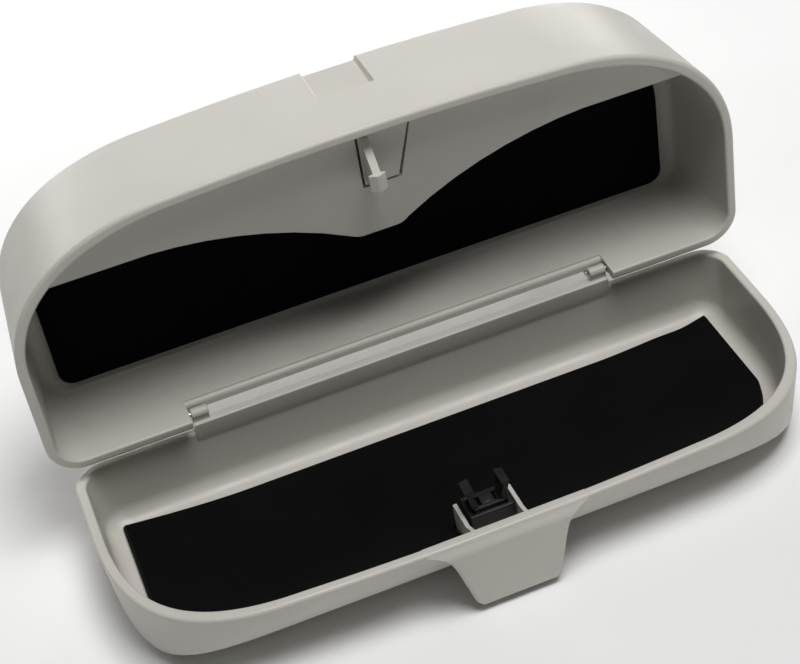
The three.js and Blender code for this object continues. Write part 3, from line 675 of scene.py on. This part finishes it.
def latch_cradle():
    """Two ribs that hold the latch and two low catches beside them on the front wall."""
    parts = []
    foot = []
    for depth in (15.2, 14, 12.5, 11, 9, 7, 5):
        foot.append((-front_edge(depth, DOOR_FLOOR + 1, SHELL_LENGTH - 1.2), -depth))
    for low, high, top in ((-CRADLE_OUTER, -CRADLE_INNER, -2.6), (CRADLE_INNER, CRADLE_OUTER, -3.4)):
        rib = foot + [(-60.5, top), (-57.5, top), (-54, -4.6), (-46.2, -5)]
        parts.append(prism("rib", "x", rib, low, high, DOOR, 0.2))
    wedge = [(-61.2, -3.4), (-61.2, -0.7), (-59.9, -0.7), (-59.1, -1.5), (-59.6, -3.2)]
    for x in CATCHES:
        parts.append(prism("catch", "x", wedge, x - CATCH_HALF_WIDTH, x + CATCH_HALF_WIDTH, DOOR, 0.2))
    return parts


def door_shell():
    rings = [outer_ring(depth) for depth in curve_depths(DOOR_DEPTH, 26)[::-1] + [1.4]]
    rings += [outer_ring(RIM_OUT * (1 - math.sin(a)), RIM_OUT * (1 - math.cos(a))) for a in quarter(6)]
    for a in quarter(5):
        rings.append(inner_ring(RIM_IN * (1 - math.cos(a)), 0, WALL - RIM_IN * (1 - math.sin(a))))
    rings += [inner_ring(depth) for depth in [1.2] + curve_depths(DOOR_FLOOR, 26)]
    body = loft("door", rings, DOOR)
    boolean(body, hinge_parts() + latch_cradle() + [pull_tab()], "UNION")
    boolean(body, [rod("bore", "x", PIN_BORE, -60, 60, DOOR_AXIS, 0.05)], "DIFFERENCE")
    return smooth(body)


finished(door_shell(), "door", SHELL, ["door_shell"])


# ---- pads ----------------------------------------------------------------------------------------------

def uneven(x, y, seed):
    """Gentle unevenness of soft foam, between -1 and 1."""
    return (
        math.sin(x * 0.11 + seed) * math.cos(y * 0.17 - seed * 2)
        + 0.6 * math.sin(x * 0.23 - y * 0.31 + seed * 3)
        + 0.4 * math.sin(x * 0.51 + y * 0.47 + seed)
    ) / 2


BASE_PAD_HALF_WIDTH = 75.6
BASE_PAD_LOW = 5.2
BASE_PAD_HIGH = 56


def base_pad():
    low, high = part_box("base_pad")
    front, back = low.y / MM - BASE.y, high.y / MM - BASE.y
    edge = [(back, 0.4), (back - 0.3, 0)]
    edge += [(front + 0.9 - 0.9 * math.sin(a), 0.9 * (1 - math.cos(a))) for a in quarter(6)]
    face = [(front, inset) for inset in (2, 3.5, 5, 7, 9, 11, 13, 15, 17, 19, 21, 23)]
    rings = []
    for depth, inset in edge + face:
        half = BASE_PAD_HALF_WIDTH - inset
        radius = max(3.5 - inset / 2, 0.6)
        ring = shell_outline(half, BASE_PAD_LOW + inset, BASE_PAD_HIGH - inset, radius, BASE_CORNER)
        soft = 0.07 if len(rings) > 7 else 0.0
        rings.append([(x, depth + soft * (1 + uneven(x, y, 1.3)), y) for x, y in ring])
    return smooth(loft("back_pad", rings, BASE), 50)


back_pad = finished(base_pad(), "housing", FELT, ["base_pad"])


class TrayFloor:
    """Height of the door's inside at any place, lifted off its walls and floor."""

    def __init__(self, lift):
        self.columns = np.linspace(-80, 80, 161)
        self.depths = np.array(curve_depths(DOOR_FLOOR - lift, 40))
        right_side = HINGE_CORNER_STEPS + 4
        left_side = HINGE_CORNER_STEPS + SIDE_STEPS + 2 * DOOR_CORNER_STEPS + FRONT_STEPS + 5
        reach = []
        for depth in self.depths:
            front = sorted((x, -y) for x, y, _ in inner_ring(depth, lift)[right_side:left_side])
            xs, ys = zip(*front)
            reach.append(np.interp(self.columns, xs, ys, left=0, right=0))
        self.reach = np.array(reach)

    def depth(self, x, y):
        reach = np.array([np.interp(x, self.columns, row) for row in self.reach])
        return float(np.interp(-y, -reach, self.depths))

    def normal(self, x, y):
        across = self.depth(x + 0.5, y) - self.depth(x - 0.5, y)
        along = self.depth(x, y + 0.5) - self.depth(x, y - 0.5)
        return Vector((across, -along, 1)).normalized()


DOOR_PAD_HALF_WIDTH = 73.4
DOOR_PAD_INSET = 6.2
DOOR_PAD_FRONT = 52.5
DOOR_PAD_THICKNESS = 1.4


def pad_rear(x):
    """The wavy rear edge of the door pad."""
    s = abs(x) / DOOR_PAD_HALF_WIDTH
    wave = 9.4 - 2.6 * max(0, (s - 0.6) / 0.4) ** 1.6
    if x > 0:
        wave += 0.7 * math.exp(-((x - 66) / 5) ** 2)
    return wave


def pad_front(x):
    """Its front edge: straight, and drawn in beside the rounded corners."""
    inside = DOOR_HALF_WIDTH - DOOR_PAD_INSET
    outline = shell_outline(inside, 1, SHELL_LENGTH - DOOR_PAD_INSET, 3, DOOR_CORNER)
    xs, ys = zip(*sorted(p for p in outline if p[1] > 20))
    return min(DOOR_PAD_FRONT, float(np.interp(x, xs, ys)))


def pad_points(across, along):
    """Top and bottom points of the door pad, a grid that follows the floor, with a soft round edge."""
    floor = TrayFloor(0.8)
    edge = 0.15
    half = DOOR_PAD_HALF_WIDTH
    top, bottom = [], []
    for i in range(across + 1):
        place = 2 * i / across - 1
        x = half * math.sin(math.pi / 2 * place) * 0.35 + half * place * 0.65
        rear, front = pad_rear(x), pad_front(x)
        for j in range(along + 1):
            t = 0.4 * (0.5 - 0.5 * math.cos(math.pi * j / along)) + 0.6 * j / along
            y = rear + (front - rear) * t
            rim = min(half - abs(x), y - rear, front - y)
            rise = 1.0 if rim >= 1 else math.sqrt(max(0, 1 - (1 - rim) ** 2))
            lift = edge + (DOOR_PAD_THICKNESS - edge) * rise
            if rim > 1:
                lift += 0.06 * uneven(x, y, 4.1)
            foot = Vector((x, -y, -floor.depth(x, y)))
            bottom.append(tuple(foot))
            top.append(tuple(foot + floor.normal(x, y) * lift))
    return top, bottom


def pad_faces(across, along):
    """Faces of a closed skin over two such grids, the top one first."""
    count = along + 1
    total = (across + 1) * count
    faces = []
    for i in range(across):
        for j in range(along):
            a = i * count + j
            faces.append((a, a + 1, a + count + 1, a + count))
            faces.append((total + a, total + a + count, total + a + count + 1, total + a + 1))
    for i in range(across):
        a, b = i * count, (i + 1) * count
        faces.append((a, b, total + b, total + a))
        a, b = a + along, b + along
        faces.append((b, a, total + a, total + b))
    for j in range(along):
        faces.append((j + 1, j, total + j, total + j + 1))
        a = across * count + j
        faces.append((a, a + 1, total + a + 1, total + a))
    return faces


def door_pad():
    grid = (150, 44)
    top, bottom = pad_points(*grid)
    pad = from_faces("door_felt", top + bottom, pad_faces(*grid), DOOR)
    half = CRADLE_OUTER + 0.4
    room = [(-half, -60), (half, -60), (half, -45.4), (-half, -45.4)]
    boolean(pad, [prism("room", "z", room, -20, 5, DOOR, 0.5)], "DIFFERENCE")
    return smooth(pad, 50)


tray_pad = finished(door_pad(), "door", FELT, ["door_pad"])


# ---- smaller CAD pieces, with their edges rounded ------------------------------------------------------

def dressed(node, material, width):
    obj = frame["nodes"][node]
    obj.data.materials.clear()
    obj.data.materials.append(material)
    weld = obj.modifiers.new("weld", "WELD")
    weld.merge_threshold = 0.00001
    bevel = obj.modifiers.new("round", "BEVEL")
    bevel.width = width * MM
    bevel.segments = 3
    bevel.limit_method = "ANGLE"
    bevel.angle_limit = math.radians(35)
    bevel.harden_normals = True


for node, material, width in (
    ("glasses_retainer", RETAINER, 0.25), ("striker", RETAINER, 0.15),
    ("latch_housing", ACETAL, 0.15), ("latch_plunger", ACETAL, 0.1),
    ("latch_jaw_left", ACETAL, 0.12), ("latch_jaw_right", ACETAL, 0.12),
    ("latch_spring", SPRING_STEEL, 0.01), ("base_pad_tape", FILM, 0.03), ("door_pad_tape", FILM, 0.03),
    ("roof_clip_left", SPRING_STEEL, 0.08), ("roof_clip_right", SPRING_STEEL, 0.08),
    ("clip_screw_left", ZINC, 0.08), ("clip_screw_right", ZINC, 0.08),
    ("hinge_pin_left", ZINC, 0.05), ("hinge_pin_right", ZINC, 0.05),
    ("jaw_pin_left", ZINC, 0.03), ("jaw_pin_right", ZINC, 0.03),
):
    dressed(node, material, width)


# ---- floor, light and camera ---------------------------------------------------------------------------

def table_top():
    ground = bpy.data.meshes.new("ground")
    reach = 3.0
    corners = [(-reach, -reach, 0), (reach, -reach, 0), (reach, reach, 0), (-reach, reach, 0)]
    ground.from_pydata(corners, [], [(0, 1, 2, 3)])
    floor = new_object("table_top", ground)
    floor.location.z = -0.0002
    paper = Shader("pale_paper")
    tone = paper.colours(paper.noise(14, 3), (0.86, 0.86, 0.86), (0.9, 0.9, 0.9))
    paper.link(tone, paper.bsdf.inputs["Base Color"])
    paper.set(Roughness=0.9)
    floor.data.materials.append(paper.material)


def area_light(name, place, aim, size, power):
    light = bpy.data.lights.new(name, "AREA")
    light.shape = "RECTANGLE"
    light.size, light.size_y = size
    light.energy = power
    obj = new_object(name, light)
    obj.location = place
    obj.rotation_euler = (Vector(aim) - Vector(place)).to_track_quat("-Z", "Y").to_euler()


def studio():
    scene = bpy.context.scene
    scene.view_settings.view_transform = "Standard"
    table_top()

    world = bpy.data.worlds.new("studio")
    world.use_nodes = True
    background = world.node_tree.nodes["Background"]
    background.inputs["Color"].default_value = (1, 0.985, 0.93, 1)
    background.inputs["Strength"].default_value = 0.1
    scene.world = world

    area_light("overhead", (0.1, -0.13, 0.75), (0, 0.02, 0.03), (0.36, 0.34), 4.6)
    area_light("rear_left", (-0.5, 0.6, 0.4), (0, 0.03, 0.03), (0.5, 0.3), 1.1)
    area_light("rear_low", (0.05, 0.5, 0.12), (0, 0.03, 0), (0.6, 0.12), 1.7)


def camera():
    aim = (AXIS + Vector((0.2, 0.94, 1.6))) * MM
    azimuth, elevation, roll = (math.radians(v) for v in (-13.43, 39.68, -10.83))
    distance = 0.435
    back = Vector((
        math.sin(azimuth) * math.cos(elevation),
        -math.cos(azimuth) * math.cos(elevation),
        math.sin(elevation),
    ))
    lens = bpy.data.cameras.new("camera")
    lens.lens = 85.5
    lens.sensor_width = 36
    lens.clip_start = 0.01
    obj = new_object("camera", lens)
    turn = (-back).to_track_quat("-Z", "Y").to_matrix() @ Matrix.Rotation(roll, 3, "Z")
    obj.matrix_world = Matrix.Translation(aim + back * distance) @ turn.to_4x4()
    bpy.context.scene.camera = obj


studio()
camera()
